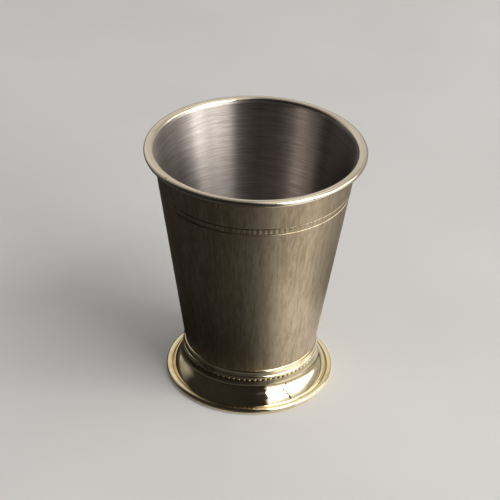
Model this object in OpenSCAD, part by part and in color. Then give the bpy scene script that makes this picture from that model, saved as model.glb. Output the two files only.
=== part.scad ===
// Footed julep cup: a tapered drawn shell with a rolled bead band, a polished rim ring and a beaded ogee foot.
// Origin: middle of the resting face. +Z is the axis of the cup. Lengths are in millimetres.

/* [Cup] */
// Height from the table to the top of the rim
cup_h = 108; // [95:1:125]
// Outside diameter over the rim ring
rim_d = 90; // [84:0.5:96]
// Outside diameter of the taper at the top of the foot's neck
taper_foot_d = 55.7; // [50:0.1:60]
// Thickness of the drawn sheet
wall_t = 0.7; // [0.5:0.05:0.9]
// Height of the floor's underside above the table
floor_lift = 6.5; // [5:0.1:8]
// Radius between the wall and the floor, inside
floor_r = 3; // [1.5:0.1:5]

/* [Rim ring] */
// Height of the rim ring's section
rim_section_h = 2.8; // [2.4:0.1:3.4]
// How far the rim ring stands out from the taper
rim_out = 3.85; // [3.5:0.05:4.8]
// Radius that opens the lip outward, on its inner face
lip_flare_r = 2; // [1.5:0.1:2.5]
// Angle of the lip's end from upright
lip_flare_angle = 50; // [40:1:60]

/* [Bead band] */
// Depth of the band's lower groove below the top of the rim
band_drop = 18.2; // [12:0.1:30]
// Height between the band's two grooves
band_h = 2.7; // [2:0.1:4]
// Radius of each groove's section
band_groove_r = 0.28; // [0.15:0.01:0.3]
// Number of beads in the band
band_bead_count = 114; // [80:2:130]
// Depth of the crease between two beads
band_crease_t = 0.2; // [0.1:0.01:0.25]

/* [Foot] */
// How far the edge of the foot stands out from the foot of the taper
foot_out = 7.9; // [7.2:0.1:10]
// Thickness of the foot's sheet
foot_t = 0.8; // [0.6:0.05:1]
// Height of the smooth lip above the beads
lip_h = 2.5; // [1.8:0.1:3]
// Height of the beads' upright seat, from the ogee to the smooth lip
seat_h = 2.9; // [2.8:0.1:3.3]
// How far the smooth lip stands out from the taper
lip_out = 1.1; // [0.8:0.05:1.3]
// Height of the top of the ogee
ogee_top_h = 11.6; // [10.5:0.1:13]
// Height at which the ogee turns from hollow to round
ogee_turn_h = 6.9; // [6.5:0.1:7.5]
// Height of the bottom of the ogee
ogee_foot_h = 2.4; // [2.2:0.1:2.7]
// Steepest lean of the ogee from upright
ogee_lean = 43; // [40:1:47]
// Diameter of the edge ring's section
edge_section_d = 2.8; // [2.5:0.1:3.1]
// Width of the flat that the edge ring stands on
edge_flat_w = 0.9; // [0.6:0.1:1.2]
// Height of solder under the neck
solder_h = 1.6; // [1:0.1:2]
// Gap that the solder fills at its top, between the taper and the foot
solder_gap = 0.1; // [0.05:0.01:0.2]

/* [Bead ring] */
// Number of beads round the neck
bead_count = 80; // [70:1:86]
// Height of the beads' middle above the ogee
bead_lift = 1.3; // [1.2:0.05:1.4]

/* [Hidden] */
round_fn = 96;
small_fn = 32;
bead_fn = 16;
arc_steps = 8;
rim_steps = 40;
// One overrun serves all cuts
over = 1;

// Heights of the foot's neck follow from the top of the ogee
lip_low_z = ogee_top_h + seat_h;
neck_h = lip_low_z + lip_h;
bead_z = ogee_top_h + bead_lift;

// The taper's outer radius rises evenly with height, from the neck to the underside of the rim ring
taper_top_d = rim_d - 2 * rim_out;
rim_low_z = cup_h - rim_section_h;
taper_slope = (taper_top_d - taper_foot_d) / 2 / (rim_low_z - neck_h);
taper_angle = atan(taper_slope);
function taper_r(z) = taper_foot_d / 2 + (z - neck_h) * taper_slope;
function inner_r(z) = taper_r(z) - wall_t / cos(taper_angle);
// Points on an arc about (mid_r, mid_z), from angle a0 to a1
function arc(mid_r, mid_z, r, a0, a1) =
    [for (i = [0 : arc_steps]) let (a = a0 + (a1 - a0) * i / arc_steps) [mid_r + r * cos(a), mid_z + r * sin(a)]];

// The lip opens outward: both its faces turn about one middle
rim_half_h = rim_section_h / 2;
rim_mid_z = cup_h - rim_half_h;
lip_end_share = 0.24;
lip_end_z = rim_mid_z + rim_half_h * lip_end_share;
lip_mid_z = lip_end_z - lip_flare_r * sin(lip_flare_angle);
lip_mid_r = inner_r(lip_mid_z) + lip_flare_r / cos(taper_angle);
lip_end_r = lip_mid_r - lip_flare_r * cos(lip_flare_angle);

// The rim ring's section is an oval that passes through the lip's inner end
rim_half_w = (rim_d / 2 - lip_end_r) / (1 + sqrt(1 - lip_end_share * lip_end_share));
rim_mid_r = rim_d / 2 - rim_half_w;

// The corner between the wall and the floor
corner_mid_z = floor_lift + wall_t + floor_r;
corner_mid_r = inner_r(corner_mid_z) - floor_r / cos(taper_angle);

// The bead band's grooves
band_low_z = cup_h - band_drop;
band_high_z = band_low_z + band_h;
band_mid_z = (band_low_z + band_high_z) / 2;

// The edge ring stands on a narrow flat, and its inner side is cut upright where the skirt's hem seats
edge_r = edge_section_d / 2;
foot_r = taper_foot_d / 2 + foot_out;
edge_mid_r = foot_r - edge_r;
edge_mid_z = sqrt(edge_r * edge_r - edge_flat_w * edge_flat_w / 4);
hem_share = 0.84;
hem_r = edge_mid_r - edge_r * hem_share;
hem_half_h = edge_r * sqrt(1 - hem_share * hem_share);
hem_top_z = edge_mid_z + hem_half_h;
hem_low_z = edge_mid_z - hem_half_h;

// The neck of the foot: a smooth lip, and an upright seat for the bead ring
lip_low_r = taper_r(lip_low_z) + lip_out;
seat_r = taper_r(lip_low_z) + foot_t / 3;

// The ogee: hollow from its top to its turn, round from there to its foot
ogee_top_r = seat_r + foot_t / 4;
ogee_foot_r = hem_r - foot_t / 2;
// The solder's gap leaves the rest of the ogee's top to its sheet
ogee_t = ogee_top_r - taper_r(ogee_top_h) - solder_gap;
hollow_r = (ogee_top_h - ogee_turn_h) / sin(ogee_lean);
ogee_turn_r = ogee_top_r + hollow_r * (1 - cos(ogee_lean));
ogee_end_lean = 2 * atan((ogee_foot_r - ogee_turn_r) / (ogee_turn_h - ogee_foot_h)) - ogee_lean;
round_r = (ogee_turn_h - ogee_foot_h) / (sin(ogee_lean) - sin(ogee_end_lean));
round_mid_r = ogee_turn_r - round_r * cos(ogee_lean);
round_mid_z = ogee_turn_h - round_r * sin(ogee_lean);
hollow_mid_r = ogee_top_r + hollow_r;

// The bead ring: a half-round wire with beads on its lower side, just clear of each other.
// The middles of both stand a little proud of the seat.
bead_fill_share = 0.97;
bead_r = PI * seat_r / bead_count * bead_fill_share;
bead_mid_r = seat_r + bead_r / 20;
wire_share = 0.9;
wire_r = bead_r * wire_share;
wire_z = lip_low_z - wire_r;

module cup_outline() {
    polygon(concat(
        [[0, floor_lift]],
        arc(corner_mid_r, corner_mid_z, floor_r + wall_t, -90, -taper_angle),
        arc(lip_mid_r, lip_mid_z, lip_flare_r - wall_t, 180 - taper_angle, 180 - lip_flare_angle),
        arc(lip_mid_r, lip_mid_z, lip_flare_r, 180 - lip_flare_angle, 180 - taper_angle),
        arc(corner_mid_r, corner_mid_z, floor_r, -taper_angle, -90),
        [[0, floor_lift + wall_t]]
    ));
}

// The sheet's section with the band's two grooves
module grooved_outline() {
    difference() {
        cup_outline();
        for (z = [band_low_z, band_high_z])
            translate([taper_r(z), z])
                circle(r = band_groove_r, $fn = small_fn);
    }
}

// An upright crease between each two beads of the band, a square bar laid on its corner along the taper
module band_creases() {
    crease_w = band_crease_t * sqrt(2);
    for (i = [0 : band_bead_count - 1])
        rotate([0, 0, 360 * i / band_bead_count])
            translate([taper_r(band_mid_z), 0, band_mid_z])
                rotate([0, taper_angle, 0])
                    rotate([0, 0, 45])
                        cube([crease_w, crease_w, band_h], center = true);
}

module cup_shell() {
    color("darkkhaki")
        difference() {
            rotate_extrude($fn = round_fn)
                grooved_outline();
            band_creases();
        }
}

module rim_ring() {
    color("palegoldenrod")
        rotate_extrude($fn = round_fn)
            difference() {
                polygon([for (i = [0 : rim_steps - 1]) let (a = 360 * i / rim_steps)
                    [rim_mid_r + rim_half_w * cos(a), rim_mid_z + rim_half_h * sin(a)]]);
                cup_outline();
            }
}

// Outer face of the skirt from the top of the ogee to its foot, or a face lying depth behind it
function ogee(depth) = concat(
    arc(hollow_mid_r, ogee_top_h, hollow_r + depth, 180, 180 + ogee_lean),
    arc(round_mid_r, round_mid_z, round_r - depth, ogee_lean, ogee_end_lean)
);

module skirt_outline() {
    inner = ogee(ogee_t);
    polygon(concat(
        [for (i = [0 : arc_steps]) let (a = 90 * i / arc_steps)
            [taper_r(neck_h) + (lip_low_r - taper_r(neck_h)) * sin(a), lip_low_z + lip_h * cos(a)]],
        [[seat_r, lip_low_z], [seat_r, ogee_top_h]],
        ogee(0),
        [[hem_r, hem_top_z], [hem_r, hem_low_z]],
        [[hem_r - foot_t, hem_low_z], [hem_r - foot_t, hem_top_z - foot_t / 2]],
        [for (i = [len(inner) - 1 : -1 : 0]) inner[i]],
        [[taper_r(ogee_top_h), ogee_top_h]]
    ));
}

module foot_skirt() {
    color("goldenrod")
        rotate_extrude($fn = round_fn)
            skirt_outline();
}

module bead_ring() {
    color("gold")
        difference() {
            union() {
                rotate_extrude($fn = round_fn)
                    translate([bead_mid_r, wire_z])
                        circle(r = wire_r, $fn = small_fn);
                for (i = [0 : bead_count - 1])
                    rotate([0, 0, 360 * i / bead_count])
                        translate([bead_mid_r, 0, bead_z])
                            rotate([0, 90, 0])
                                sphere(r = bead_r, $fn = bead_fn);
            }
            translate([0, 0, ogee_top_h - over])
                cylinder(h = lip_low_z - ogee_top_h + 2 * over, r = seat_r, $fn = round_fn);
        }
}

module foot_edge_ring() {
    color("khaki")
        rotate_extrude($fn = round_fn)
            intersection() {
                translate([edge_mid_r, edge_mid_z])
                    circle(r = edge_r, $fn = round_fn);
                translate([hem_r, 0])
                    square([foot_r, edge_section_d + over]);
            }
}

// Solder fills the wedge between the taper and the skirt, just under the neck
module solder_fillet() {
    solder_low_z = ogee_top_h - solder_h;
    color("silver")
        rotate_extrude($fn = round_fn)
            difference() {
                polygon([
                    [taper_r(solder_low_z), solder_low_z],
                    [ogee_top_r, solder_low_z + foot_t / 2],
                    [ogee_top_r, ogee_top_h],
                    [taper_r(ogee_top_h), ogee_top_h]
                ]);
                skirt_outline();
            }
}

cup_shell();
rim_ring();
foot_skirt();
bead_ring();
foot_edge_ring();
solder_fillet();
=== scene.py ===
"""Dresses the footed julep cup: brushed taper, bead band, polished rim and beaded ogee foot."""
import logging
from dataclasses import dataclass
from enum import Enum
from functools import cached_property
from math import (acos, asin, atan, atan2, cos, degrees, hypot, pi, radians, sin, sqrt, tan,
                  tau)
from typing import Callable, Sequence, Union

import bpy
from mathutils import Matrix, Vector


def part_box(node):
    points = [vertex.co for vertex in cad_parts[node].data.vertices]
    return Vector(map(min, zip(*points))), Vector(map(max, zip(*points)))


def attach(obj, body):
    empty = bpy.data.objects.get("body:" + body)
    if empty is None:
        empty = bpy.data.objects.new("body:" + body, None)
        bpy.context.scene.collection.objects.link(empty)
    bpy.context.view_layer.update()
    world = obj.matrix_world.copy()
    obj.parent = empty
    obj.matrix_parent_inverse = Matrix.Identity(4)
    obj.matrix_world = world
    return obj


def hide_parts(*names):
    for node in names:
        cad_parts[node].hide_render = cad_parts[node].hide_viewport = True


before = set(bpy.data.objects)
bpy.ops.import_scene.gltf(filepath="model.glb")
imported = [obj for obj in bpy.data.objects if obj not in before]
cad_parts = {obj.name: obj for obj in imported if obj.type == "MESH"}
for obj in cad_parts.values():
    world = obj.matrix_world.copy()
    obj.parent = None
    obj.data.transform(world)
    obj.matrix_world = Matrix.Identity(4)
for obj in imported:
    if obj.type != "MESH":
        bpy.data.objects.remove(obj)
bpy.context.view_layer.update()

LOG = logging.getLogger("julep_cup")
MM = 0.001
AXIS = (0.0, 0.0, 1.0)
CENTRE = (0.0, 0.0, 0.0)
EVEN = (1.0, 1.0, 1.0)
BLACK = (0.0, 0.0, 0.0, 1.0)
SEED_SIZE = 0.05 * MM
MERGE_GAP = 0.002 * MM
SMOOTH_ANGLE = radians(32.0)
BODY = "root"

Point = tuple[float, float]
Span = tuple[float, float]
Triple = tuple[float, float, float]
Colour = tuple[float, float, float, float]
Tones = tuple[tuple[float, float], ...]
Rings = tuple[tuple[float, Tones], ...]
Socket = bpy.types.NodeSocket
Value = Union[float, Sequence[float], Socket]
Piece = bpy.types.Object
Material = bpy.types.Material
Test = Callable[[Vector], bool]


class Face(Enum):
    """Sides of the drawn sheet that carry different finishes."""

    OUTSIDE = 0
    INSIDE = 1


def oval(centre: Point, half: Point, start: float, end: float, steps: int) -> list[Point]:
    """Points on a stretch of an oval with two half sizes, by degrees from outwards."""
    turn = [radians(start + (end - start) * i / steps) for i in range(steps + 1)]
    return [(centre[0] + half[0] * cos(a), centre[1] + half[1] * sin(a)) for a in turn]


def arc(centre: Point, radius: float, start: float, end: float, steps: int) -> list[Point]:
    """Points on a stretch of a circle."""
    return oval(centre, (radius, radius), start, end, steps)


def softened(corners: Sequence[Sequence[float]], steps: int = 4) -> list[Point]:
    """Rounds the corners of an open outline.

    Args:
        corners: Radius, height and rounding radius of each corner. Both ends take no rounding.
        steps: Number of steps in each rounded corner.

    Returns:
        The points of the outline.
    """
    points: list[Point] = [corners[0][:2]]
    for before, corner, after in zip(corners, corners[1:], corners[2:]):
        here = Vector(corner[:2])
        back = Vector(before[:2]) - here
        ahead = Vector(after[:2]) - here
        if corner[2] <= 0:
            points.append((here.x, here.y))
            continue
        half = back.angle(ahead) / 2
        reach = min(corner[2] / tan(half), back.length * 0.49, ahead.length * 0.49)
        first = here + back.normalized() * reach
        last = here + ahead.normalized() * reach
        for i in range(steps + 1):
            t = i / steps
            bent = first * (1 - t) ** 2 + here * 2 * t * (1 - t) + last * t ** 2
            points.append((bent.x, bent.y))
    points.append(corners[-1][:2])
    return points


def deselect_all() -> None:
    """Leaves no object selected."""
    bpy.ops.object.select_all(action="DESELECT")


def activate(piece: Piece) -> None:
    """Makes one object the only selected and active one."""
    deselect_all()
    piece.select_set(True)
    bpy.context.view_layer.objects.active = piece


def take_whole_mesh() -> None:
    """Selects all of the mesh that is in edit mode."""
    bpy.ops.mesh.select_all(action="SELECT")


def open_mesh() -> None:
    """Puts a new object's place in its mesh and edits the whole of it."""
    bpy.ops.object.transform_apply(location=True)
    bpy.context.tool_settings.mesh_select_mode = (True, False, False)
    bpy.ops.object.mode_set(mode="EDIT")
    take_whole_mesh()


def close_mesh() -> None:
    """Merges doubles, turns faces outwards and leaves edit mode."""
    take_whole_mesh()
    bpy.ops.mesh.remove_doubles(threshold=MERGE_GAP)
    bpy.ops.mesh.normals_make_consistent(inside=False)
    bpy.ops.mesh.select_all(action="DESELECT")
    bpy.ops.object.mode_set(mode="OBJECT")


def lathe(name: str, section: Sequence[Point], steps: int) -> Piece:
    """Draws a section by extruding a point along it, and spins it about the cup's axis.

    Args:
        name: Name of the new piece.
        section: Radius and height of each point. A closed section repeats its first point.
        steps: Number of steps in the full turn.

    Returns:
        The new piece, with its place in its mesh.
    """
    deselect_all()
    radius, height = section[0]
    bpy.ops.mesh.primitive_circle_add(vertices=3, radius=SEED_SIZE, location=(radius, 0, height))
    piece = bpy.context.object
    piece.name = name
    piece.data.name = name
    open_mesh()
    bpy.ops.mesh.merge(type="CENTER")
    for (r0, z0), (r1, z1) in zip(section, section[1:]):
        move = {"value": (r1 - r0, 0, z1 - z0)}
        bpy.ops.mesh.extrude_vertices_move(TRANSFORM_OT_translate=move)
    take_whole_mesh()
    bpy.ops.mesh.spin(steps=steps, angle=tau, center=CENTRE, axis=AXIS)
    close_mesh()
    return piece


def choose(piece: Piece, faces: bool, test: Test) -> None:
    """Selects the vertices or faces of a mesh that pass a test, and enters edit mode.

    Args:
        piece: The mesh object, in object mode.
        faces: Whether faces are chosen, by their middle, and not vertices.
        test: Takes a place and says whether it is wanted.
    """
    activate(piece)
    bpy.context.tool_settings.mesh_select_mode = (not faces, False, faces)
    mesh = piece.data
    for parts in (mesh.vertices, mesh.edges, mesh.polygons):
        parts.foreach_set("select", [False] * len(parts))
    if faces:
        mesh.polygons.foreach_set("select", [test(p.center) for p in mesh.polygons])
    else:
        mesh.vertices.foreach_set("select", [test(v.co) for v in mesh.vertices])
    bpy.ops.object.mode_set(mode="EDIT")


def press(piece: Piece, test: Test, scale: float) -> None:
    """Moves chosen vertices towards the cup's axis or away from it.

    Args:
        piece: The mesh object.
        test: Says which vertices move.
        scale: Their new radius as a share of the old one.
    """
    choose(piece, False, test)
    bpy.ops.transform.resize(value=(scale, scale, 1), center_override=CENTRE)
    bpy.ops.object.mode_set(mode="OBJECT")


def settle(piece: Piece, node: str) -> None:
    """Shades a finished piece smooth and hands it to the frame.

    Args:
        piece: The finished mesh object.
        node: The CAD node that it stands for.
    """
    activate(piece)
    bpy.ops.object.shade_smooth_by_angle(angle=SMOOTH_ANGLE)
    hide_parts(node)
    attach(piece, BODY)
    faces = len(piece.data.polygons)
    LOG.info("%s: %d faces, stands for %s", piece.name, faces, node)


@dataclass(frozen=True)
class Grain:
    """One cloudy noise: its fineness, how it is drawn out, and its weight in a tone."""

    scale: float
    detail: float = 2.0
    roughness: float = 0.5
    stretch: Triple = EVEN
    turn: Triple = CENTRE
    around: float = 0.0
    weight: float = 1.0


class Wiring:
    """A node tree, with short ways to add its nodes and wire them."""

    def __init__(self, tree: bpy.types.NodeTree) -> None:
        """Takes the tree."""
        self.tree = tree

    def fill(self, socket: Socket, value: Value) -> None:
        """Wires a socket into another, or sets its own number."""
        if isinstance(value, Socket):
            self.tree.links.new(value, socket)
        else:
            socket.default_value = value

    def add(self, kind: str, inputs: dict[Union[str, int], Value],
            **settings: object) -> bpy.types.Node:
        """Adds a node.

        Args:
            kind: Blender's name for the node's type.
            inputs: Sockets by name or number, and what each takes.
            **settings: Properties of the node itself.

        Returns:
            The new node.
        """
        node = self.tree.nodes.new(kind)
        for key, value in settings.items():
            setattr(node, key, value)
        for key, value in inputs.items():
            self.fill(node.inputs[key], value)
        return node

    def calc(self, operation: str, a: Value, b: Value = 0.0) -> Socket:
        """One sum on one or two numbers. MULTIPLY_ADD adds a half."""
        return self.add("ShaderNodeMath", {0: a, 1: b, 2: 0.5}, operation=operation).outputs[0]


class Canvas(Wiring):
    """The nodes of one material, with patterns and directions for finishes."""

    def __init__(self, name: str) -> None:
        """Starts a material of that name, with a Principled shader."""
        self.material = bpy.data.materials.new(name)
        self.material.use_nodes = True
        super().__init__(self.material.node_tree)
        self.shader = self.tree.nodes["Principled BSDF"]

    def shade(self, inputs: dict[str, Value]) -> None:
        """Wires or sets the shader's own sockets."""
        for key, value in inputs.items():
            self.fill(self.shader.inputs[key], value)

    def spot(self) -> Socket:
        """The place of each point, in the piece's own coordinates."""
        return self.add("ShaderNodeTexCoord", {}).outputs["Object"]

    def steer(self, operation: str, a: Value, b: Value = CENTRE) -> Socket:
        """One sum on vectors. LENGTH and DISTANCE give a number."""
        node = self.add("ShaderNodeVectorMath", {0: a, 1: b}, operation=operation)
        return node.outputs["Value" if operation in ("LENGTH", "DISTANCE") else "Vector"]

    def height(self) -> Socket:
        """Height above the table, in metres."""
        return self.add("ShaderNodeSeparateXYZ", {0: self.spot()}).outputs["Z"]

    def radius(self) -> Socket:
        """Distance from the cup's axis, in metres."""
        return self.steer("LENGTH", self.steer("MULTIPLY", self.spot(), (1.0, 1.0, 0.0)))

    def azimuth(self) -> Socket:
        """Direction round the axis as a share: 0.5 is towards the camera, 0.75 to its right."""
        parts = self.add("ShaderNodeSeparateXYZ", {0: self.spot()}).outputs
        turn = self.calc("ARCTAN2", parts["X"], self.calc("MULTIPLY", parts["Y"], -1.0))
        return self.calc("MULTIPLY_ADD", turn, 1 / tau)

    def round_the_axis(self) -> Socket:
        """The direction that runs round the cup."""
        return self.steer("CROSS_PRODUCT", AXIS, self.spot())

    def across_the_turning(self) -> Socket:
        """The direction that runs up the wall, and out over the floor."""
        normal = self.add("ShaderNodeNewGeometry", {}).outputs["Normal"]
        return self.steer("CROSS_PRODUCT", normal, self.round_the_axis())

    def place(self, stretch: Triple, turn: Triple) -> Socket:
        """The place of each point, scaled and turned, to draw a pattern out."""
        mapping = {"Vector": self.spot(), "Scale": stretch, "Rotation": turn}
        return self.add("ShaderNodeMapping", mapping).outputs["Vector"]

    def turned(self, drift: float) -> Socket:
        """Coordinates whose pattern runs round the cup.

        Args:
            drift: How fast the pattern changes along its own way.

        Returns:
            The coordinates, in metres.
        """
        flat = self.place((drift, drift, 1.0), CENTRE)
        parts = self.add("ShaderNodeSeparateXYZ", {0: flat}).outputs
        along = self.calc("ADD", self.height(), self.radius())
        joined = {0: parts["X"], 1: parts["Y"], 2: along}
        return self.add("ShaderNodeCombineXYZ", joined).outputs[0]

    def noise(self, grain: Grain) -> Socket:
        """Cloudy noise from 0 to 1."""
        if grain.around:
            vector = self.turned(grain.around)
        else:
            vector = self.place(grain.stretch, grain.turn)
        node = self.add("ShaderNodeTexNoise", {
            "Vector": vector, "Scale": grain.scale, "Detail": grain.detail,
            "Roughness": grain.roughness})
        return node.outputs["Fac"]

    def weigh(self, *parts: tuple[Value, float]) -> Socket:
        """Adds patterns, each multiplied by its weight."""
        total = self.calc("MULTIPLY", *parts[0])
        for part in parts[1:]:
            total = self.calc("ADD", total, self.calc("MULTIPLY", *part))
        return total

    def spread(self, value: Value, source: Span, target: Span = (0.0, 1.0)) -> Socket:
        """Takes numbers from one range to another, held at its ends."""
        node = self.add("ShaderNodeMapRange", {
            "Value": value, "From Min": source[0], "From Max": source[1],
            "To Min": target[0], "To Max": target[1]})
        return node.outputs["Result"]

    def blend(self, share: Value, a: Value, b: Value, way: str = "MIX") -> Socket:
        """Mixes two colours."""
        inputs = {0: share, 6: a, 7: b}
        return self.add("ShaderNodeMix", inputs, data_type="RGBA", blend_type=way).outputs[2]

    def around(self, tones: Tones, tint: Triple = EVEN) -> Socket:
        """A grey, or tinted, tone that changes with the direction round the axis.

        Args:
            tones: Azimuth in degrees and tone of each stop, in order.
            tint: Red, green and blue of a tone of 1.

        Returns:
            The colour socket.
        """
        node = self.add("ShaderNodeValToRGB", {0: self.azimuth()})
        ramp = node.color_ramp
        ramp.interpolation = "EASE"
        while len(ramp.elements) < len(tones):
            ramp.elements.new(0.5)
        for element, (turn, _) in zip(ramp.elements, tones):
            element.position = turn / 360 + 0.5
        for element, (_, tone) in zip(ramp.elements, tones):
            element.color = (*(tone * part for part in tint), 1.0)
        return node.outputs[0]

    def bump(self, height: Socket, distance: float, strength: float) -> None:
        """Raises the surface by a pattern, to a height in metres of which a share shows."""
        inputs = {"Height": height, "Distance": distance, "Strength": strength}
        self.shade({"Normal": self.add("ShaderNodeBump", inputs).outputs["Normal"]})


@dataclass(frozen=True)
class Finish:
    """A finish that can be made as a material."""

    name: str

    def paint(self, c: Canvas) -> None:
        """Wires the finish on an empty canvas."""
        raise NotImplementedError

    def build(self) -> Material:
        """Makes the material."""
        canvas = Canvas(self.name)
        self.paint(canvas)
        return canvas.material


@dataclass(frozen=True)
class BrushedBronze(Finish):
    """Antique gold plate, brushed up and down the taper and darkened unevenly, with painted
    shade in the band's grooves.
    """

    name: str = "antique_gold_brushed"
    dark: Colour = (0.318, 0.244, 0.158, 1.0)
    middle: Colour = (0.415, 0.328, 0.222, 1.0)
    light: Colour = (0.505, 0.414, 0.294, 1.0)
    # Colour of the painted shade in the grooves.
    groove_shade: Colour = (0.105, 0.078, 0.052, 1.0)
    hair: Grain = Grain(3200.0, 3.0, 0.6, (1, 1, 0.02), weight=0.2)
    fibre: Grain = Grain(1200.0, 2.0, 0.6, (1, 1, 0.03), weight=0.4)
    streak: Grain = Grain(430.0, 2.0, 0.55, (1, 1, 0.036), weight=0.3)
    drift: Grain = Grain(90.0, 3.0, 0.55, (1, 1, 0.13), weight=0.3)
    middle_tones: Span = (0.38, 0.5)
    light_tones: Span = (0.48, 0.62)
    roughness: Span = (0.44, 0.34)
    anisotropy: float = 0.75
    brush_depth: float = 0.008 * MM
    brush_show: float = 0.6
    grooves: Span = (89.62 * MM, 92.46 * MM)
    groove_half: float = 0.25 * MM
    # How strong the painted groove shade is round the axis: none on the side towards the lights.
    shade_by_azimuth: Tones = ((-180, 1.0), (8, 1.0), (22, 0.0), (110, 0.0), (130, 1.0), (180, 1.0))

    def groove_shade_share(self, c: Canvas) -> Socket:
        """How much painted shade lies in the band's two grooves, less on the side towards the
        lights.

        Args:
            c: The canvas of the finish.

        Returns:
            The share of painted shade.
        """
        edge = (self.groove_half * 1.6, self.groove_half * 0.6)
        shares = []
        for groove in self.grooves:
            away = c.calc("ABSOLUTE", c.calc("SUBTRACT", c.height(), groove))
            shares.append(c.spread(away, edge))
        return c.calc("MULTIPLY", c.calc("MAXIMUM", *shares), c.around(self.shade_by_azimuth))

    def paint(self, c: Canvas) -> None:
        """Wires the brushed plate and the painted shade in its grooves."""
        hair = c.noise(self.hair)
        streak = c.noise(self.streak)
        drift = c.noise(self.drift)
        tone = c.weigh(
            (streak, self.streak.weight), (drift, self.drift.weight),
            (c.noise(self.fibre), self.fibre.weight),
            (c.calc("SUBTRACT", hair, 0.5), self.hair.weight))
        low = c.blend(c.spread(tone, self.middle_tones), self.dark, self.middle)
        colour = c.blend(c.spread(tone, self.light_tones), low, self.light)
        c.shade({
            # The grooves take painted shade, faded out on the side towards the lights.
            "Base Color": c.blend(self.groove_shade_share(c), colour, self.groove_shade),
            "Roughness": c.spread(c.calc("ADD", hair, drift), (0.7, 1.3), self.roughness),
            "Metallic": 1.0,
            "Anisotropic": self.anisotropy,
            "Tangent": c.round_the_axis()})
        brushed = c.calc("ADD", hair, c.calc("MULTIPLY", streak, 0.6))
        c.bump(brushed, self.brush_depth, self.brush_show)


@dataclass(frozen=True)
class BrushedSteel(Finish):
    """Bare steel of the inside, brushed round the wall, with painted bright and dark streaks of
    reflection on its upper part.
    """

    name: str = "brushed_steel_inside"
    dark: Colour = (0.38, 0.326, 0.292, 1.0)
    light: Colour = (0.66, 0.603, 0.568, 1.0)
    line: Grain = Grain(3000.0, 3.0, 0.65, around=0.03, weight=0.72)
    broad: Grain = Grain(720.0, around=0.08, weight=0.28)
    scuff: Grain = Grain(900.0, 2.0, 0.5, (0.12, 0.5, 1.0), (0.5, 0.3, 0.0), weight=-0.04)
    tones: Span = (0.35, 0.65)
    roughness: Span = (0.44, 0.38)
    anisotropy: float = 0.95
    brush_depth: float = 0.006 * MM
    brush_show: float = 0.7
    streaks_from: Span = (40.0 * MM, 58.0 * MM)
    # Painted reflection: tones round the axis that multiply the upper wall, bright streaks at
    # the back left and back right, darker to the right.
    painted_streaks: Tones = (
        (-180, 0.64), (-170, 0.54), (-161, 0.76), (-152, 1.0), (-142, 1.3), (-134, 0.96),
        (-122, 0.56), (-90, 0.8), (0, 0.9), (100, 0.28), (130, 0.5), (143, 1.15),
        (152, 1.6), (160, 1.15), (170, 0.85), (180, 0.64))

    def paint(self, c: Canvas) -> None:
        """Wires the turned steel and its painted streaks of reflection and shade."""
        line = c.noise(self.line)
        scuff = c.noise(self.scuff)
        tone = c.weigh(
            (line, self.line.weight), (c.noise(self.broad), self.broad.weight),
            (c.spread(scuff, (0.62, 0.72)), self.scuff.weight))
        colour = c.blend(c.spread(tone, self.tones), self.dark, self.light)
        # Above these heights the colour carries the painted streaks.
        wall = c.spread(c.height(), self.streaks_from)
        c.shader.distribution = "GGX"
        c.shade({
            "Base Color": c.blend(wall, colour, c.around(self.painted_streaks), "MULTIPLY"),
            "Roughness": c.spread(line, (0.3, 0.7), self.roughness),
            "Metallic": 1.0,
            "Anisotropic": self.anisotropy,
            "Tangent": c.across_the_turning()})
        brushed = c.calc("ADD", line, c.calc("MULTIPLY", scuff, 0.6))
        c.bump(brushed, self.brush_depth, self.brush_show)


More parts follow.
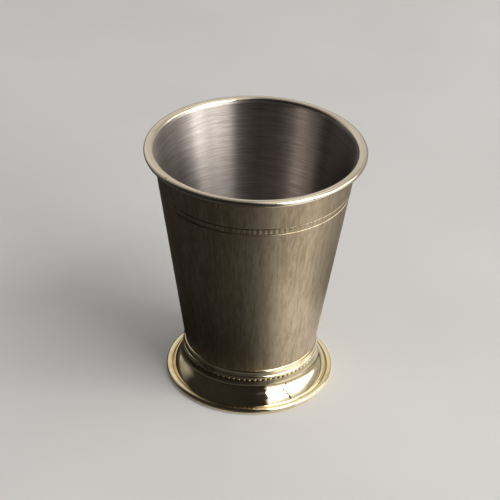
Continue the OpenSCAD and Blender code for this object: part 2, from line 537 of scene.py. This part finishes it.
@dataclass(frozen=True)
class PolishedGold(Finish):
    """Mirror-polished pale gold plate, wiped and a little tarnished, with painted shade between
    and under the beads.
    """

    clean: Colour
    tarnished: Colour
    # Colour of the painted shade round the beads, and of the dirt in chips.
    dirt_and_shade: Colour = (0.1, 0.078, 0.055, 1.0)
    cloud: Grain = Grain(70.0, 3.0, 0.6)
    speck: Grain = Grain(1500.0)
    wipe: Grain = Grain(2600.0, 2.0, 0.6, (0.15, 0.15, 1.0))
    ripple: Grain = Grain(190.0, 1.0, 0.4)
    haze: float = 0.015
    uneven: float = 0.04
    wipe_share: float = 0.05
    depth: float = 0.05 * MM
    wave: float = 0.3
    beads: int = 0
    # Width and heights of the painted shade in the gaps between beads.
    bead_gap_shade: Span = (0.24, 0.14)
    bead_foot: Span = (13.3 * MM, 12.8 * MM)
    # How strong the painted bead shade is round the axis: less on the side towards the lights.
    shade_by_azimuth: Tones = ((-180, 1.0), (-70, 0.6), (-20, 1.0), (14, 1.0), (34, 0.35), (130, 0.35),
                   (160, 1.0), (180, 1.0))
    seam: Span = (0.0, 0.0)
    seat: Point = (0.0, 0.0)
    # Heights over which the ogee's hollow under the beads takes painted shade.
    hollow_shade_heights: Span = (8.6 * MM, 10.2 * MM)
    chips: tuple[Triple, ...] = ()
    chip_edge: Span = (0.65 * MM, 0.5 * MM)

    def shade_and_chip_shares(self, c: Canvas, speck: Socket) -> list[Socket]:
        """How much painted shade lies between the beads and under them, and how much dirt lies
        in chips of the plate.

        Args:
            c: The canvas of the finish.
            speck: Fine noise that roughens the edge of a chip.

        Returns:
            The shares of painted shade and of dirt in chips.
        """
        shares = []
        # Painted shade in the gaps between the beads, low down, weaker towards the lights.
        if self.beads:
            phase = c.calc("FRACT", c.calc("MULTIPLY", c.azimuth(), float(self.beads)))
            gap = c.spread(c.calc("ABSOLUTE", c.calc("SUBTRACT", phase, 0.5)), self.bead_gap_shade)
            low = c.calc("MULTIPLY", gap, c.spread(c.height(), self.bead_foot))
            shares.append(c.calc("MULTIPLY", low, c.around(self.shade_by_azimuth)))
        # Painted shade in the seat under the beads and down the top of the ogee's hollow.
        radius, top = self.seat
        if top:
            hollow = c.spread(c.height(), self.hollow_shade_heights, (0.0, 0.6))
            deep = c.spread(c.radius(), (radius, radius - 0.1 * MM))
            below = c.spread(c.height(), (top, top + 0.2 * MM), (1.0, 0.0))
            shares.append(c.calc("MULTIPLY", c.calc("MAXIMUM", hollow, deep), below))
        # Dark chips worn into the plate.
        for chip in self.chips:
            away = c.steer("DISTANCE", c.spot(), chip)
            rough = c.calc("ADD", away, c.calc("MULTIPLY", speck, 0.5 * MM))
            shares.append(c.spread(rough, self.chip_edge))
        return shares

    def paint(self, c: Canvas) -> None:
        """Wires the plate, its tarnish, its chips and the painted shade round the beads."""
        cloud = c.noise(self.cloud)
        speck = c.noise(self.speck)
        wipe = c.noise(self.wipe)
        fleck = c.spread(speck, (0.35, 0.65), (0.4, 1.0))
        stain = c.calc("MULTIPLY", c.spread(cloud, (0.52, 0.78)), fleck)
        middle, half = self.seam
        if half:
            away = c.calc("ABSOLUTE", c.calc("SUBTRACT", c.radius(), middle))
            stain = c.calc("MAXIMUM", stain, c.spread(away, (half, half / 3)))
        colour = c.blend(stain, self.clean, self.tarnished)
        # Blends in the painted shade round the beads and the dirt in chips.
        for share in self.shade_and_chip_shares(c, speck):
            colour = c.blend(share, colour, self.dirt_and_shade)
        haze = c.weigh((cloud, self.uneven), (wipe, self.uneven))
        c.shade({
            "Base Color": colour, "Roughness": c.calc("ADD", haze, self.haze), "Metallic": 1.0})
        marks = c.calc("MULTIPLY", wipe, self.wipe_share)
        c.bump(c.calc("ADD", c.noise(self.ripple), marks), self.depth, self.wave)


RIM_GOLD = PolishedGold(
    "rim_gold_plate", (0.67, 0.585, 0.45, 1.0), (0.57, 0.485, 0.35, 1.0),
    haze=0.1, wave=0.1,
    chips=((22.83 * MM, -38.76 * MM, 106.75 * MM), (-34.52 * MM, -27.46 * MM, 107.77 * MM),
           (-28.62 * MM, -34.71 * MM, 106.75 * MM)))
# The foot's plate has painted shade in the seat under the beads.
FOOT_GOLD = PolishedGold(
    "foot_gold_plate", (0.88, 0.75, 0.49, 1.0), (0.4, 0.262, 0.09, 1.0),
    seam=(33.15 * MM, 0.3 * MM), seat=(27.95 * MM, 14.4 * MM), wave=0.12)
# The bead ring's plate has painted shade in the gaps between its beads.
BEAD_GOLD = PolishedGold(
    "bead_gold_plate", (0.9, 0.785, 0.55, 1.0), (0.07, 0.05, 0.026, 1.0), beads=80)


@dataclass(frozen=True)
class SolderGrey(Finish):
    """Dull, grainy solder."""

    name: str = "solder_dull_grey"
    dark: Colour = (0.18, 0.176, 0.17, 1.0)
    light: Colour = (0.42, 0.415, 0.4, 1.0)
    sand: Grain = Grain(1200.0, 3.0, 0.6)
    pool: Grain = Grain(260.0)
    roughness: Span = (0.42, 0.62)
    depth: float = 0.08 * MM
    show: float = 0.8

    def paint(self, c: Canvas) -> None:
        """Wires the solder's pools and its grain."""
        sand = c.noise(self.sand)
        pool = c.noise(self.pool)
        c.shade({
            "Base Color": c.blend(c.spread(pool, (0.35, 0.65)), self.dark, self.light),
            "Roughness": c.spread(sand, (0.3, 0.7), self.roughness),
            "Metallic": 1.0})
        c.bump(c.calc("ADD", pool, c.calc("MULTIPLY", sand, 0.4)), self.depth, self.show)


@dataclass(frozen=True)
class PlainFloor(Finish):
    """Matt pale floor."""

    name: str = "plain_pale_floor"
    low: Colour = (0.56, 0.552, 0.54, 1.0)
    high: Colour = (0.6, 0.592, 0.58, 1.0)
    cloud: Grain = Grain(9.0, 3.0)

    def paint(self, c: Canvas) -> None:
        """Wires the floor's faint clouds."""
        colour = c.blend(c.spread(c.noise(self.cloud), (0.3, 0.7)), self.low, self.high)
        c.shade({"Base Color": colour, "Roughness": 0.7, "Specular IOR Level": 0.2})


@dataclass
class Taper:
    """The straight taper that all pieces share."""

    foot_radius: float = 27.85 * MM
    foot_height: float = 17.0 * MM
    top_radius: float = 41.15 * MM
    top_height: float = 105.2 * MM
    sheet: float = 0.7 * MM

    @cached_property
    def slope(self) -> float:
        """How much the radius grows with height."""
        return (self.top_radius - self.foot_radius) / (self.top_height - self.foot_height)

    @cached_property
    def lean(self) -> float:
        """Angle of the wall from upright, in degrees."""
        return degrees(atan(self.slope))

    @cached_property
    def cosine(self) -> float:
        """Cosine of the wall's lean."""
        return cos(radians(self.lean))

    def outer(self, height: float) -> float:
        """Radius of the outer face at a height."""
        return self.foot_radius + (height - self.foot_height) * self.slope

    def inner(self, height: float) -> float:
        """Radius of the inner face at a height."""
        return self.outer(height) - self.sheet / self.cosine


@dataclass
class Lip:
    """The opened lip of the shell and the oval of the rim ring that closes it."""

    taper: Taper
    flare_radius: float = 2.0 * MM
    flare_angle: float = 50.0
    end_share: float = 0.24

    @cached_property
    def ring(self) -> Vector:
        """Highest corner of the box of the rim ring."""
        return Vector(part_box("rim_ring")[1])

    @cached_property
    def half_height(self) -> float:
        """Half the height of the ring's section."""
        return (self.ring.z - self.taper.top_height) / 2

    @cached_property
    def ring_height(self) -> float:
        """Height of the middle of the ring's section."""
        return self.ring.z - self.half_height

    @cached_property
    def middle(self) -> Point:
        """The point that both faces of the opened lip turn about."""
        end = self.ring_height + self.half_height * self.end_share
        height = end - self.flare_radius * sin(radians(self.flare_angle))
        return (self.taper.inner(height) + self.flare_radius / self.taper.cosine, height)

    @cached_property
    def end(self) -> Point:
        """The lip's inner end."""
        turn = radians(self.flare_angle)
        return (self.middle[0] - self.flare_radius * cos(turn),
                self.middle[1] + self.flare_radius * sin(turn))

    @cached_property
    def half_width(self) -> float:
        """Half the width of the ring's section."""
        return (self.ring.x - self.end[0]) / (1 + sqrt(1 - self.end_share ** 2))


@dataclass
class CupShell:
    """The drawn beaker: floor, taper, bead band and opened lip."""

    taper: Taper
    lip: Lip
    corner_radius: float = 3.0 * MM
    corner_steps: int = 10
    lip_steps: int = 8
    pip: float = 2.0 * MM
    floor_share: float = 0.6
    rows_below: tuple[float, ...] = (12.0 * MM, 30.0 * MM, 50.0 * MM, 70.0 * MM)
    rows_above: tuple[float, ...] = (96.0 * MM, 101.0 * MM)
    inner_top_row: float = 88.0 * MM
    band_low: float = 89.8 * MM
    band_high: float = 92.5 * MM
    groove: float = 0.28 * MM
    groove_shape: tuple[Point, ...] = (
        (-1.7, 0.0), (-1.15, -0.02), (-0.8, -0.45), (-0.4, -0.9), (0.0, -1.0), (0.4, -0.85),
        (0.8, -0.35))
    crown: float = 0.05 * MM
    crown_rows: tuple[float, ...] = (0.2, 0.33, 0.5, 0.67, 0.8)
    crease: float = 0.14 * MM
    crease_flank: float = 0.35
    crease_inset: Span = (0.9, 0.2)
    beads: int = 114
    steps_a_bead: int = 6

    @cached_property
    def floor(self) -> float:
        """Height of the floor's underside."""
        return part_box("cup_shell")[0][2]

    def on_face(self, height: float, out: float = 0.0) -> Point:
        """A point on the outer face, or a little out from it."""
        return (self.taper.outer(height) + out, height)

    def band_section(self) -> list[Point]:
        """Points up the outer face through the grooves and the beads between them."""
        groove = self.groove
        gap = self.band_high - self.band_low
        low = [self.on_face(self.band_low + along * groove, depth * groove)
               for along, depth in self.groove_shape]
        crown = [self.on_face(self.band_low + gap * share, self.crown * sin(pi * share))
                 for share in self.crown_rows]
        high = [self.on_face(self.band_high - along * groove, depth * groove)
                for along, depth in reversed(self.groove_shape)]
        return low + crown + high

    def section(self) -> list[Point]:
        """The sheet's section, from the axis under the floor to the axis above it."""
        taper = self.taper
        lip = self.lip
        above = self.floor + taper.sheet
        height = above + self.corner_radius
        corner = (taper.inner(height) - self.corner_radius / taper.cosine, height)
        flat = (0.0, self.pip, corner[0] * self.floor_share)
        wall = 180 - taper.lean
        end = 180 - lip.flare_angle
        inside = reversed(self.rows_below + (self.inner_top_row,))
        return (
            [(radius, self.floor) for radius in flat]
            + arc(corner, self.corner_radius + taper.sheet, -90, -taper.lean, self.corner_steps)
            + [self.on_face(z) for z in self.rows_below]
            + self.band_section()
            + [self.on_face(z) for z in self.rows_above]
            + arc(lip.middle, lip.flare_radius - taper.sheet, wall, end, self.lip_steps)
            + arc(lip.middle, lip.flare_radius, end, wall, self.lip_steps)
            + [(taper.inner(z), z) for z in inside]
            + arc(corner, self.corner_radius, -taper.lean, -90, self.corner_steps)
            + [(radius, above) for radius in reversed(flat)]
        )

    def build(self) -> Piece:
        """Spins the sheet and presses the creases between its beads.

        Returns:
            The shell.
        """
        steps = self.beads * self.steps_a_bead
        piece = lathe("cup_shell_drawn", self.section(), steps)
        low = self.band_low + self.groove * self.crease_inset[0]
        high = self.band_high - self.groove * self.crease_inset[1]
        face = self.taper.outer((low + high) / 2)
        half = self.taper.sheet / 2

        def in_band(place: Vector, wanted: Sequence[int]) -> bool:
            """Whether a vertex is on the band, in a wanted column of its bead."""
            if not low < place.z < high:
                return False
            outside = hypot(place.x, place.y) > self.taper.outer(place.z) - half
            column = round(atan2(place.y, place.x) / tau * steps) % self.steps_a_bead
            return outside and column in wanted

        press(piece, lambda p: in_band(p, (0,)), 1 - self.crease / face)
        press(piece, lambda p: in_band(p, (1, 5)), 1 - self.crease * self.crease_flank / face)
        return piece

    def dress(self, piece: Piece, outside: Material, inside: Material) -> None:
        """Gives the two faces of the sheet their finishes.

        Args:
            piece: The shell.
            outside: Finish of the outer face.
            inside: Finish of the inner face.
        """
        piece.data.materials.append(outside)
        piece.data.materials.append(inside)
        half = self.taper.sheet / 2
        lip = self.lip

        def is_inside(middle: Vector) -> bool:
            """Whether a face lies on the inner side of the sheet."""
            radius = hypot(middle.x, middle.y)
            within = radius < self.taper.outer(middle.z) - half
            if middle.z < self.floor + self.corner_radius:
                return middle.z > self.floor + half and within
            if middle.z > lip.middle[1]:
                away = hypot(radius - lip.middle[0], middle.z - lip.middle[1])
                return away > lip.flare_radius - half and middle.z <= lip.end[1]
            return within

        piece.active_material_index = Face.INSIDE.value
        choose(piece, True, is_inside)
        bpy.ops.object.material_slot_assign()
        bpy.ops.object.mode_set(mode="OBJECT")


@dataclass
class RimRing:
    """The polished oval moulding round the lip."""

    lip: Lip
    under: float = -152.0
    points: int = 56
    seat_start: float = 148.0
    seat_steps: int = 4
    steps: int = 288

    def build(self) -> Piece:
        """Spins the oval, cut away where it sits on the lip.

        Returns:
            The ring.
        """
        lip = self.lip
        start = 180 - degrees(asin(lip.end_share))
        outer = oval((lip.ring.x - lip.half_width, lip.ring_height),
                     (lip.half_width, lip.half_height), start, self.under, self.points)
        seat = arc(lip.middle, lip.flare_radius - lip.taper.sheet, self.seat_start,
                   180 - lip.flare_angle, self.seat_steps)
        return lathe("rim_ring_polished", outer + seat + [outer[0]], self.steps)


@dataclass
class FootSkirt:
    """The spun foot: a neck with a smooth lip, an ogee and a hem."""

    taper: Taper
    sheet: float = 0.8 * MM
    lip_height: float = 2.5 * MM
    lip_out: float = 1.1 * MM
    lip_end: float = 7.5
    lip_steps: int = 11
    lip_soft: float = 0.12 * MM
    seat_soft: float = 0.06 * MM
    ogee_soft: float = 0.1 * MM
    ogee_top: float = 11.6 * MM
    ogee_turn: float = 6.9 * MM
    ogee_foot: float = 2.4 * MM
    ogee_lean: float = 43.0
    ogee_steps: int = 14
    edge_radius: float = 1.4 * MM
    edge_flat: float = 0.9 * MM
    hem_share: float = 0.84
    hem_bend: float = 0.5 * MM
    hem_soft: float = 0.1 * MM
    hem_hollow: float = 0.3 * MM
    steps: int = 288

    @cached_property
    def neck_height(self) -> float:
        """Height of the top of the neck."""
        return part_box("foot_skirt")[1][2]

    @cached_property
    def lip_low(self) -> float:
        """Height of the lower edge of the smooth lip."""
        return self.neck_height - self.lip_height

    @cached_property
    def seat_radius(self) -> float:
        """Radius of the beads' upright seat."""
        return self.taper.outer(self.lip_low) + self.sheet / 3

    @cached_property
    def edge_middle(self) -> Point:
        """Middle of the edge ring's section."""
        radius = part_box("foot_edge_ring")[1][0] - self.edge_radius
        return (radius, sqrt(self.edge_radius ** 2 - self.edge_flat ** 2 / 4))

    @cached_property
    def hem_radius(self) -> float:
        """Outer radius of the hem."""
        return self.edge_middle[0] - self.edge_radius * self.hem_share

    def ogee(self, depth: float) -> list[Point]:
        """Points down the ogee, at a depth behind its outer face."""
        top = self.seat_radius + self.sheet / 4
        foot = self.hem_radius - self.sheet / 2
        lean = radians(self.ogee_lean)
        hollow = (self.ogee_top - self.ogee_turn) / sin(lean)
        turn = top + hollow * (1 - cos(lean))
        rise = self.ogee_turn - self.ogee_foot
        end = 2 * atan((foot - turn) / rise) - lean
        full = rise / (sin(lean) - sin(end))
        middle = (turn - full * cos(lean), self.ogee_turn - full * sin(lean))
        upper = arc((top + hollow, self.ogee_top), hollow + depth, 180, 180 + self.ogee_lean,
                    self.ogee_steps)
        lower = arc(middle, full - depth, self.ogee_lean, degrees(end), self.ogee_steps)
        return upper + lower[1:]

    def build(self) -> Piece:
        """Spins the foot's sheet.

        Returns:
            The skirt.
        """
        top = self.taper.outer(self.neck_height)
        reach = self.taper.outer(self.lip_low) + self.lip_out - top
        lip = oval((top, self.lip_low), (reach, self.lip_height), 90, self.lip_end,
                   self.lip_steps)
        outer = self.ogee(0)
        inner = self.ogee(self.sheet)
        seat = self.seat_radius
        under_lip = softened([
            lip[-1], (top + reach, self.lip_low, self.lip_soft),
            (seat, self.lip_low, self.lip_soft), (seat, self.ogee_top, self.seat_soft),
            (seat + self.sheet / 4, self.ogee_top, self.ogee_soft), outer[1]])
        back = self.hem_radius - self.sheet
        half = self.edge_radius * sqrt(1 - self.hem_share ** 2)
        hem_top = self.edge_middle[1] + half
        hem_low = self.edge_middle[1] - half
        hem = softened([
            outer[-2], outer[-1] + (self.hem_bend,), (self.hem_radius, hem_top, 0.0),
            (self.hem_radius, hem_low, self.hem_soft), (back, hem_low, self.hem_soft),
            (back, hem_top - self.sheet / 2, self.hem_hollow), inner[-1]])
        corner = (self.taper.outer(self.ogee_top), self.ogee_top)
        section = (lip[:-1] + under_lip[:-1] + outer[1:-1] + hem[1:] + inner[-2::-1]
                   + [corner, lip[0]])
        return lathe("foot_skirt_polished", section, self.steps)


@dataclass
class BeadRing:
    """A half-round wire with a row of beads."""

    skirt: FootSkirt
    beads: int = 80
    fill_share: float = 0.97
    bead_height: float = 12.9 * MM
    bead_cut: float = 0.03 * MM
    wire_share: float = 0.9
    wire_points: int = 20
    steps: int = 240

    @cached_property
    def bead_radius(self) -> float:
        """Radius of one bead."""
        return pi * self.skirt.seat_radius / self.beads * self.fill_share

    @cached_property
    def middle(self) -> float:
        """Radius of the middle of beads and wire."""
        return self.skirt.seat_radius + self.bead_radius / 20

    def wire(self) -> Piece:
        """The half-round wire on the neck's seat."""
        radius = self.bead_radius * self.wire_share
        lean = degrees(acos((self.skirt.seat_radius - self.middle) / radius))
        centre = (self.middle, self.skirt.lip_low - radius)
        curve = arc(centre, radius, lean, -lean, self.wire_points)
        return lathe("bead_ring_polished", curve + [curve[0]], self.steps)

    def row(self) -> Piece:
        """The row of beads, each cut flat at the neck."""
        deselect_all()
        bpy.ops.mesh.primitive_uv_sphere_add(
            segments=20, ring_count=12, radius=self.bead_radius,
            location=(self.middle, 0, self.bead_height))
        piece = bpy.context.object
        open_mesh()
        cut = (self.skirt.seat_radius - self.bead_cut, 0, 0)
        bpy.ops.mesh.bisect(plane_co=cut, plane_no=(1, 0, 0), use_fill=True, clear_inner=True)
        take_whole_mesh()
        bpy.ops.mesh.spin(
            steps=self.beads, dupli=True, angle=tau, center=CENTRE, axis=AXIS)
        close_mesh()
        return piece

    def build(self) -> Piece:
        """Joins the beads to the wire.

        Returns:
            The bead ring.
        """
        wire = self.wire()
        row = self.row()
        activate(wire)
        row.select_set(True)
        bpy.ops.object.join()
        return wire


@dataclass
class EdgeRing:
    """The round moulding that the cup stands on."""

    skirt: FootSkirt
    outer_points: int = 36
    seat_points: int = 4
    steps: int = 288

    def build(self) -> Piece:
        """Spins the round section, cut flat on table and hem.

        Returns:
            The ring.
        """
        middle = self.skirt.edge_middle
        radius = self.skirt.edge_radius
        low = degrees(asin(-middle[1] / radius))
        seat = degrees(acos(-self.skirt.hem_share))
        outer = arc(middle, radius, seat, low, self.outer_points)
        inner = arc(middle, radius, -180 - low, -seat, self.seat_points)
        return lathe("foot_edge_ring_polished", outer + inner + [outer[0]], self.steps)


@dataclass
class SolderFillet:
    """Solder in the wedge between the taper and the skirt."""

    skirt: FootSkirt
    height: float = 1.6 * MM
    sag: float = 0.12 * MM
    steps: int = 144

    def build(self) -> Piece:
        """Spins the wedge with a hollow lower face.

        Returns:
            The fillet.
        """
        taper = self.skirt.taper
        top = self.skirt.ogee_top
        low = top - self.height
        sheet = self.skirt.sheet
        behind = [p for p in self.skirt.ogee(sheet) if p[1] > low + sheet / 2]
        last = behind[-1]
        first = (taper.outer(low), low)
        hollow = [(last[0] + (first[0] - last[0]) * t,
                   last[1] + (first[1] - last[1]) * t + self.sag * sin(pi * t))
                  for t in (0.25, 0.5, 0.75)]
        section = [first, (taper.outer(top), top)] + behind + hollow + [first]
        return lathe("solder_fillet_dull", section, self.steps)


@dataclass
class PhotoCamera:
    """The camera at the photograph's place."""

    target: Triple = (-1.17 * MM, 0.0, 58.65 * MM)
    distance: float = 722.28 * MM
    pitch: float = 32.257
    roll: float = 1.643
    focal_pixels: float = 1740.16
    frame_pixels: float = 500.0
    sensor: float = 36.0
    nearest: float = 10 * MM

    def build(self) -> None:
        """Makes the camera and gives it to the scene."""
        pitch = radians(self.pitch)
        roll = radians(self.roll)
        ahead = Vector((0.0, cos(pitch), -sin(pitch)))
        right = Vector((1.0, 0.0, 0.0))
        up = right.cross(ahead)
        across = right * cos(roll) + up * sin(roll)
        upward = up * cos(roll) - right * sin(roll)
        place = Vector(self.target) - ahead * self.distance
        data = bpy.data.cameras.new("photo_camera")
        data.sensor_width = self.sensor
        data.lens = self.focal_pixels / self.frame_pixels * self.sensor
        data.clip_start = self.nearest
        camera = bpy.data.objects.new("photo_camera", data)
        bpy.context.scene.collection.objects.link(camera)
        turn = Matrix((across, upward, -ahead)).transposed().to_4x4()
        camera.matrix_world = Matrix.Translation(place) @ turn
        bpy.context.scene.camera = camera


@dataclass(frozen=True)
class Pane:
    """One upright soft light panel."""

    name: str
    azimuth: float
    distance: float
    width: float
    tall: float
    middle: float
    radiance: float


@dataclass
class Studio:
    """A pale floor, two soft lights to the right, and glowing toned boards that only the metal
    sees, which paint its reflections.
    """

    floor_radius: float = 3.0
    round_sides: int = 96
    panes: tuple[Pane, ...] = (
        Pane("soft_front_pane", 57.0, 1.15, 1.17, 1.85, 1.275, 4.8),
        Pane("soft_side_pane", 95.0, 1.32, 1.06, 0.89, 0.765, 2.0),
    )
    bar_azimuth: float = 59.5
    bar_width: float = 0.05
    bar_reach: float = 1.2
    bar_colour: Colour = (0.02, 0.02, 0.02, 1.0)
    warmth: Triple = (1.0, 0.985, 0.96)
    cloud: Grain = Grain(1.4)
    cloud_share: float = 0.12
    world_light: float = 0.45
    world_lit: Colour = (1.0, 0.99, 0.975, 1.0)
    world_seen: float = 0.8
    world_shown: Colour = (0.99, 0.985, 0.975, 1.0)
    dome_radius: float = 2.6
    board_inner: float = 36.5 * MM
    board_lift: float = 0.2 * MM
    # Tones of the glowing boards, a painted reflection of the room and table: dark to the left
    # and in front, bright under the lights.
    skirting: Tones = (
        (-180, 0.45), (-142, 0.45), (-116, 0.22), (-92, 0.02), (0, 0.016), (24, 0.02),
        (30, 0.3), (105, 0.3), (138, 0.4), (180, 0.45))
    low: Tones = (
        (-180, 0.8), (-142, 0.85), (-116, 0.42), (-92, 0.02), (0, 0.016), (24, 0.02),
        (30, 1.4), (80, 1.2), (105, 0.75), (138, 0.62), (180, 0.8))
    wall: Tones = (
        (-180, 0.8), (-142, 0.92), (-116, 0.4), (-92, 0.02), (0, 0.014), (30, 0.03),
        (100, 0.2), (138, 0.62), (180, 0.8))
    ceiling: Tones = (
        (-180, 0.34), (-145, 0.34), (-112, 0.04), (-40, 0.012), (10, 0.03), (34, 0.95),
        (95, 0.85), (125, 1.2), (150, 1.35), (166, 0.9), (180, 0.45))
    contact: Tones = (
        (-180, 0.06), (-60, 0.03), (0, 0.04), (20, 0.6), (60, 1.3), (120, 1.0),
        (155, 0.2), (180, 0.06))
    beside: Tones = (
        (-180, 0.1), (-150, 0.04), (-110, 0.01), (-30, 0.012), (4, 0.03), (22, 0.24),
        (40, 0.95), (60, 1.4), (80, 1.3), (104, 0.6), (142, 0.5), (165, 0.3), (180, 0.1))
    near: Tones = (
        (-180, 0.1), (-110, 0.03), (-30, 0.035), (4, 0.06), (24, 0.17), (44, 1.6),
        (68, 1.5), (90, 0.3), (116, 0.06), (180, 0.1))
    far: Tones = (
        (-180, 0.1), (-110, 0.04), (0, 0.04), (20, 0.1), (46, 1.1), (80, 1.1),
        (120, 0.4), (180, 0.1))
    dome_rings: Rings = (
        (0.0, skirting), (0.7, low), (1.1, low), (1.25, wall),
        (1.75, wall), (2.25, ceiling))
    table_rings: Rings = (
        (0.038, contact), (0.045, beside), (0.058, beside),
        (0.08, near), (0.09, near), (0.2, far))

    @staticmethod
    def facing(azimuth: float, distance: float, height: float) -> Matrix:
        """A place round the cup that faces it. Azimuth 90 is to the camera's right."""
        turn = radians(azimuth)
        place = Vector((sin(turn) * distance, -cos(turn) * distance, 0.0))
        towards = place.to_track_quat("Z", "Y").to_matrix().to_4x4()
        return Matrix.Translation(place + Vector(AXIS) * height) @ towards

    def floor(self) -> None:
        """Lays the round floor."""
        deselect_all()
        bpy.ops.mesh.primitive_circle_add(
            vertices=self.round_sides, radius=self.floor_radius, fill_type="NGON")
        floor = bpy.context.object
        floor.name = "plain_floor"
        floor.data.materials.append(PlainFloor().build())

    def light(self, pane: Pane) -> None:
        """Makes one light panel that faces the cup."""
        data = bpy.data.lights.new(pane.name, "AREA")
        data.shape = "RECTANGLE"
        data.size = pane.width
        data.size_y = pane.tall
        data.energy = pane.radiance * pi * pane.width * pane.tall
        data.color = self.warmth
        lamp = bpy.data.objects.new(pane.name, data)
        bpy.context.scene.collection.objects.link(lamp)
        lamp.matrix_world = self.facing(pane.azimuth, pane.distance, pane.middle)
        lamp.visible_camera = False

    def card(self, name: str, rings: Rings, measure: Callable[[Canvas], Socket]) -> Material:
        """Glowing board whose tones run round the axis and from ring to ring, painting what the
        metal reflects.

        Args:
            name: Name of the material.
            rings: Distance and tones of each ring.
            measure: Gives the distance at a point.

        Returns:
            The material.
        """
        c = Canvas(name)
        colour = c.around(rings[0][1], self.warmth)
        for (start, _), (end, tones) in zip(rings, rings[1:]):
            share = c.spread(measure(c), (start, end))
            colour = c.blend(share, colour, c.around(tones, self.warmth))
        cloud = c.spread(c.noise(self.cloud), (0.3, 0.7), (0.0, self.cloud_share))
        c.shade({
            "Base Color": BLACK, "Roughness": 1.0,
            "Emission Color": c.blend(cloud, colour, BLACK), "Emission Strength": 1.0})
        return c.material

    @staticmethod
    def finish_board(board: Piece, name: str, material: Material) -> None:
        """Names and paints a board, and lets only the metal see it."""
        board.name = name
        board.data.materials.append(material)
        board.visible_camera = False
        board.visible_diffuse = False
        board.visible_shadow = False
        board.visible_transmission = False

    def dome(self) -> None:
        """Sets up the boards round the set and over it: one glowing sphere, a painted reflection
        of a room that is dark to the left and in front.
        """
        deselect_all()
        bpy.ops.mesh.primitive_uv_sphere_add(
            segments=64, ring_count=32, radius=self.dome_radius)
        tones = self.card("board_tones", self.dome_rings, Canvas.height)
        self.finish_board(bpy.context.object, "studio_boards", tones)

    def table_board(self) -> None:
        """Lays the board round the cup: a glowing ring seen only in reflections, painted as a
        table that is dark to the left and in front and bright under the lights.
        """
        deselect_all()
        bpy.ops.mesh.primitive_circle_add(
            vertices=self.round_sides, radius=self.board_inner, location=(0, 0, self.board_lift))
        open_mesh()
        bpy.ops.mesh.extrude_edges_move()
        far = self.dome_radius / self.board_inner
        bpy.ops.transform.resize(value=(far, far, 1), center_override=CENTRE)
        bpy.ops.object.mode_set(mode="OBJECT")
        tones = self.card("table_tones", self.table_rings, Canvas.radius)
        self.finish_board(bpy.context.object, "table_board", tones)

    def bar(self) -> None:
        """Sets up a thin dark bar in front of the light, which casts no shadow: a painted dark
        stripe in the metal's reflection of the light.
        """
        deselect_all()
        pane = self.panes[0]
        bpy.ops.mesh.primitive_plane_add(size=1.0)
        bar = bpy.context.object
        size = Matrix.Diagonal((self.bar_width, pane.tall * self.bar_reach, 1.0, 1.0))
        near = pane.distance - self.bar_width
        bar.matrix_world = self.facing(self.bar_azimuth, near, pane.middle) @ size
        c = Canvas("light_bar_black")
        c.shade({"Base Color": self.bar_colour, "Roughness": 0.9})
        self.finish_board(bar, "light_bar", c.material)

    def world(self) -> None:
        """Makes the pale surroundings."""
        world = bpy.data.worlds.new("pale_room")
        bpy.context.scene.world = world
        world.use_nodes = True
        world.node_tree.nodes.clear()
        room = Wiring(world.node_tree)
        path = room.add("ShaderNodeLightPath", {}).outputs
        seen = room.calc("MAXIMUM", path["Is Camera Ray"], path["Is Glossy Ray"])
        seen = room.calc("MAXIMUM", seen, path["Is Transmission Ray"])
        lit = room.add("ShaderNodeBackground", {
            "Color": self.world_lit, "Strength": self.world_light})
        shown = room.add("ShaderNodeBackground", {
            "Color": self.world_shown, "Strength": self.world_seen})
        mix = room.add("ShaderNodeMixShader", {0: seen, 1: lit.outputs[0], 2: shown.outputs[0]})
        room.add("ShaderNodeOutputWorld", {"Surface": mix.outputs[0]})

    def build(self) -> None:
        """Sets up the whole studio."""
        self.floor()
        for pane in self.panes:
            self.light(pane)
        self.world()
        self.dome()
        self.table_board()
        self.bar()
        bpy.context.scene.view_settings.view_transform = "Standard"


def main() -> None:
    """Builds, dresses and hands over every piece, and sets up the studio."""
    logging.basicConfig(level=logging.INFO, format="%(name)s: %(message)s")
    PhotoCamera().build()
    foot_gold = FOOT_GOLD.build()
    taper = Taper()
    lip = Lip(taper)
    shell = CupShell(taper, lip)
    drawn = shell.build()
    shell.dress(drawn, BrushedBronze().build(), BrushedSteel().build())
    settle(drawn, "cup_shell")
    skirt = FootSkirt(taper)
    gold = "polished_gold_plate"
    for maker, finish, node, slot in (
            (RimRing(lip), RIM_GOLD.build(), "rim_ring", gold),
            (skirt, foot_gold, "foot_skirt", gold),
            (BeadRing(skirt), BEAD_GOLD.build(), "bead_ring", gold),
            (EdgeRing(skirt), foot_gold, "foot_edge_ring", gold),
            (SolderFillet(skirt), SolderGrey().build(), "solder_fillet", "solder")):
        piece = maker.build()
        piece.data.materials.append(finish)
        settle(piece, node)
    Studio().build()


if __name__ == "__main__":
    main()
